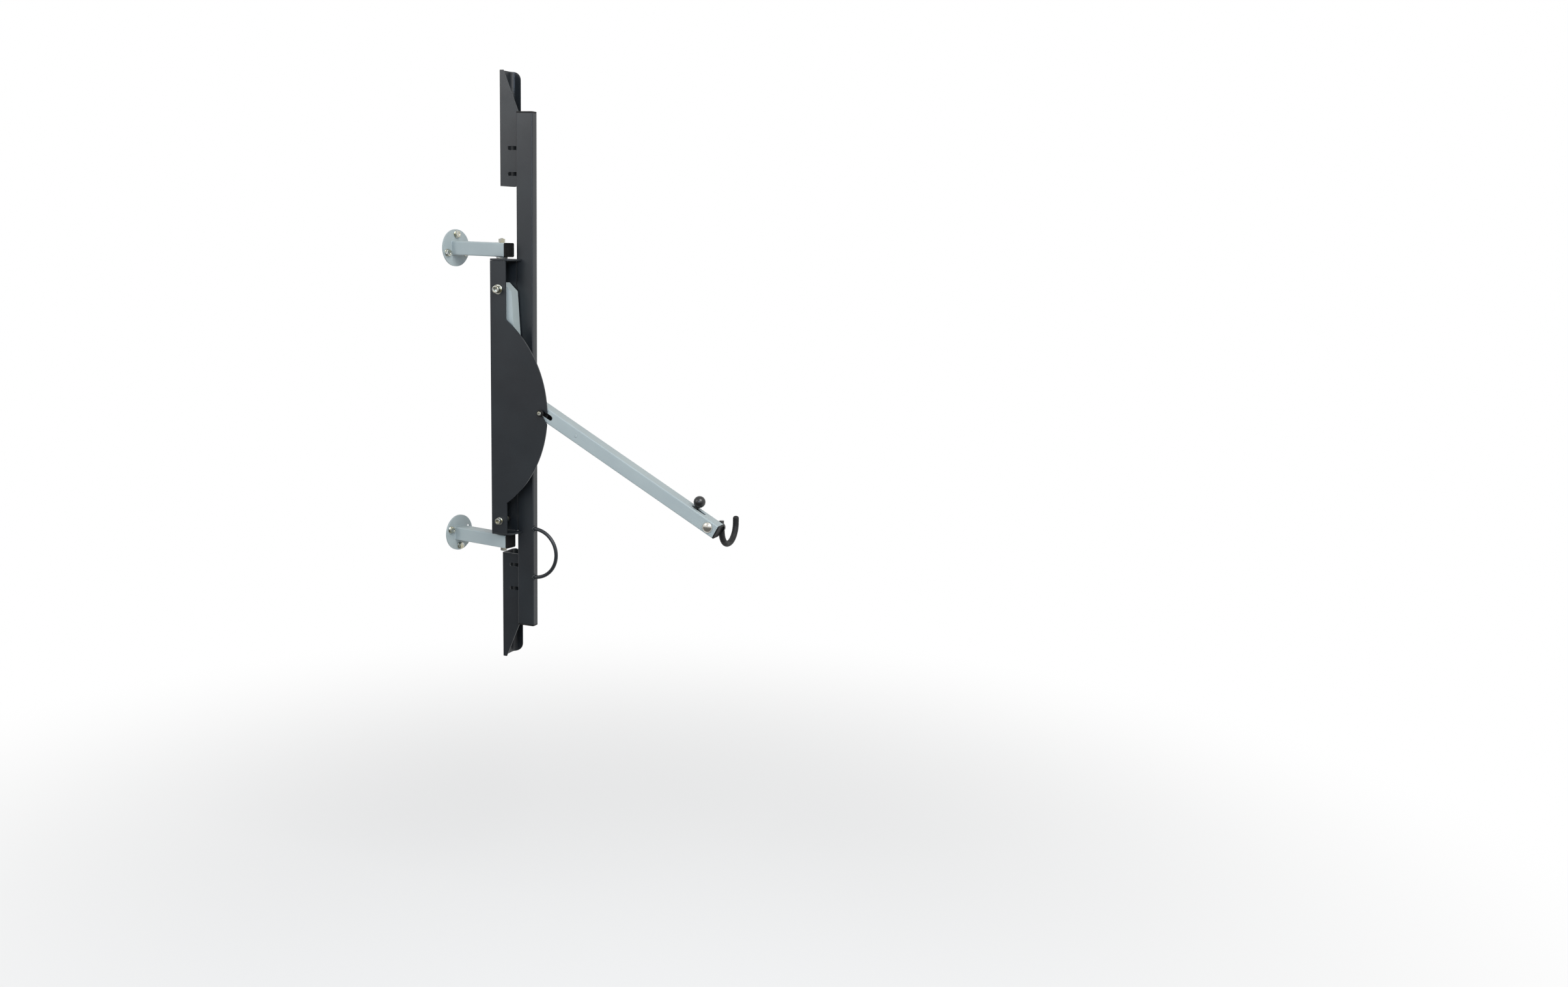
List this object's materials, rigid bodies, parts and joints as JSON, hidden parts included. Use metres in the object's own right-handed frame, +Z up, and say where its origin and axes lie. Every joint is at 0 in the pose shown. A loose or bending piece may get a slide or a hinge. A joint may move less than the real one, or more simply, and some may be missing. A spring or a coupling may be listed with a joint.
{
  "type": "wall-mounted bike lift",
  "caption": "Wall-mounted swivelling bicycle lift: a gas-assisted arm with a wheel hook and pull latch raises the bicycle upright against troughs on a rail.",
  "frame": {"origin": "centre of the upper wall disc's back face, where it lies on the wall", "axes": "+Z up; +X along the lift, away from the wall; the side plate faces -Y, the wheel side is +Y. The lift is swivelled 10 degrees from the wall's normal, so the wall discs face (-0.985, 0.174, 0)"},
  "size_m": [0.6723, 0.1386, 1.291],
  "materials": {
    "light_grey_paint": "satin light grey powder coat",
    "anthracite_powder_coat": "fine-texture anthracite powder coat",
    "black_plastic": "moulded black plastic",
    "black_rubber": "black rubber sleeve",
    "black_enamel": "glossy black enamel",
    "white_nylon": "natural nylon bushes",
    "zinc_plate": "zinc-plated steel",
    "polished_steel": "polished bright steel",
    "spring_steel": "oiled spring wire"
  },
  "bodies": {
    "wall_mount": {"upper_wall_bracket": "light_grey_paint", "lower_wall_bracket": "light_grey_paint", "upper_arm_cap": "black_plastic", "lower_arm_cap": "black_plastic", "upper_wall_bolt_1": "zinc_plate", "upper_wall_bolt_2": "zinc_plate", "upper_wall_bolt_3": "zinc_plate", "lower_wall_bolt_1": "zinc_plate", "lower_wall_bolt_2": "zinc_plate", "upper_swivel_bolt": "zinc_plate", "lower_swivel_bolt": "zinc_plate", "upper_swivel_nut": "zinc_plate", "lower_swivel_nut": "zinc_plate"},
    "frame": {"upper_swivel_bush": "white_nylon", "lower_swivel_bush": "white_nylon", "side_plate": "anthracite_powder_coat", "back_cover": "anthracite_powder_coat", "top_plate": "anthracite_powder_coat", "bottom_plate": "anthracite_powder_coat", "pivot_bolt": "zinc_plate", "pivot_nut": "zinc_plate", "anchor_bolt": "zinc_plate", "anchor_nut": "zinc_plate", "near_anchor_spacer": "black_plastic", "far_anchor_spacer": "black_plastic", "rail": "anthracite_powder_coat", "rail_top_cap": "black_plastic", "rail_bottom_cap": "black_plastic", "upper_trough": "anthracite_powder_coat", "lower_trough": "anthracite_powder_coat", "trough_screw_1": "zinc_plate", "trough_screw_2": "zinc_plate", "trough_screw_3": "zinc_plate", "trough_screw_4": "zinc_plate", "lock_loop": "anthracite_powder_coat"},
    "lift_arm": {"arm_channel": "light_grey_paint", "lift_tube": "light_grey_paint", "arm_end_cap": "black_plastic", "near_pivot_bush": "white_nylon", "far_pivot_bush": "white_nylon", "hook": "black_enamel", "hook_sleeve": "black_rubber", "hook_bolt": "polished_steel", "hook_nut": "zinc_plate", "spring_stop": "black_plastic", "stop_rivet": "light_grey_paint"},
    "latch": {"latch_slider": "black_plastic", "knob_block": "black_plastic", "latch_rod": "zinc_plate", "latch_pin": "black_plastic", "latch_screw": "zinc_plate", "pull_knob": "black_plastic", "latch_spring": "spring_steel"},
    "gas_rod": {"rod_eye": "zinc_plate", "gas_rod": "polished_steel"},
    "gas_cylinder": {"cylinder_eye": "zinc_plate", "gas_cylinder": "black_enamel", "spring_pin": "zinc_plate"}
  },
  "joints": [
    {"name": "swivel", "type": "hinge", "parent": "wall_mount", "child": "frame", "pos_m": [0.13393, -0.02362, 0], "axis": [0, 0, 1], "range_deg": [-100, 80]},
    {"name": "lift", "type": "hinge", "parent": "frame", "child": "lift_arm", "pos_m": [0.14143, -0.03212, -0.083], "axis": [0, -1, 0], "range_deg": [0, 108]},
    {"name": "latch_pull", "type": "slide", "parent": "lift_arm", "child": "latch", "axis": [0.8805, 0, -0.4741], "range_m": [0, 0.02], "stiffness_N_per_m": 500, "springref_m": -0.02, "deforming": ["latch_spring"]},
    {"name": "spring_tilt", "type": "hinge", "parent": "frame", "child": "gas_rod", "pos_m": [0.14143, -0.03212, -0.588], "axis": [0, 1, 0], "range_deg": [0, 12.11]},
    {"name": "spring_stroke", "type": "slide", "parent": "gas_rod", "child": "gas_cylinder", "axis": [0.0201, 0, 0.9998], "range_m": [0, 0.20518]}
  ],
  "couplings": [
    {"joint": "spring_tilt", "follows": "lift", "ratio": 0.11202},
    {"joint": "spring_stroke", "follows": "lift", "m_per_rad": 0.1088}
  ]
}
